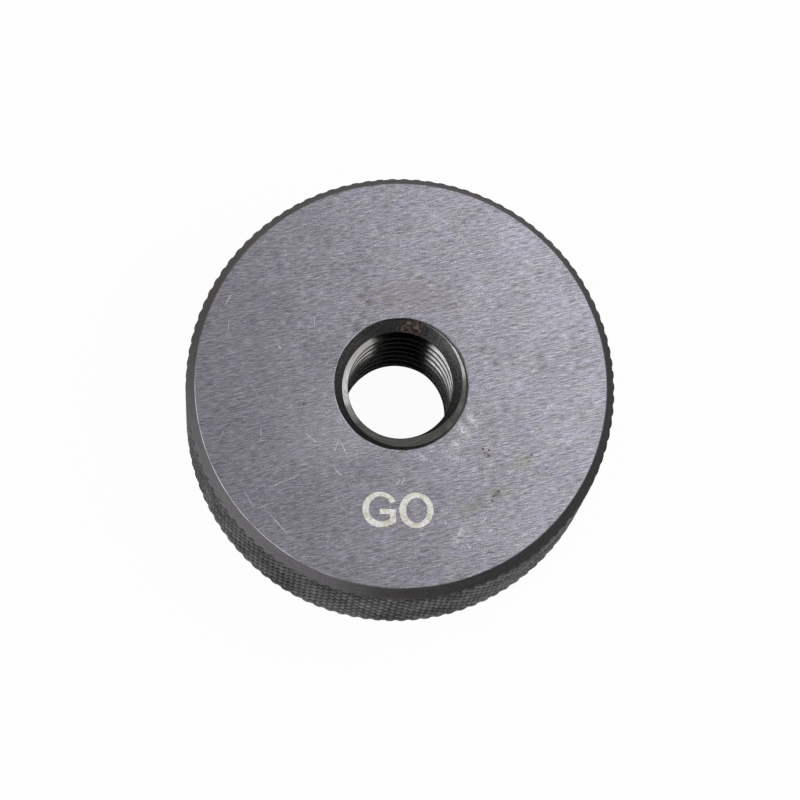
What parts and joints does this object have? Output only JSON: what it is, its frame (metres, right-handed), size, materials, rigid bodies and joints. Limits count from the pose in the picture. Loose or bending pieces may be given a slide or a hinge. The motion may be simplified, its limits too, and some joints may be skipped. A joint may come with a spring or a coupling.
{
  "type": "thread ring gauge",
  "caption": "Round steel ring gauge with a right-hand thread through it, ground flat faces, chamfered rims and a diamond-knurled edge for gripping by hand.",
  "frame": {"origin": "centre of the bottom face, on the bore's axis", "axes": "+Z along the bore, from the plain face up to the marked face; the mark GO lies towards -Y and reads upright with +X to the right"},
  "size_m": [0.032, 0.032, 0.014],
  "materials": {
    "gauge_steel": "hardened steel, flat faces ground bright, chamfers, knurl and thread left blackened"
  },
  "bodies": {
    "root": {"gauge_ring": "gauge_steel"}
  },
  "joints": []
}
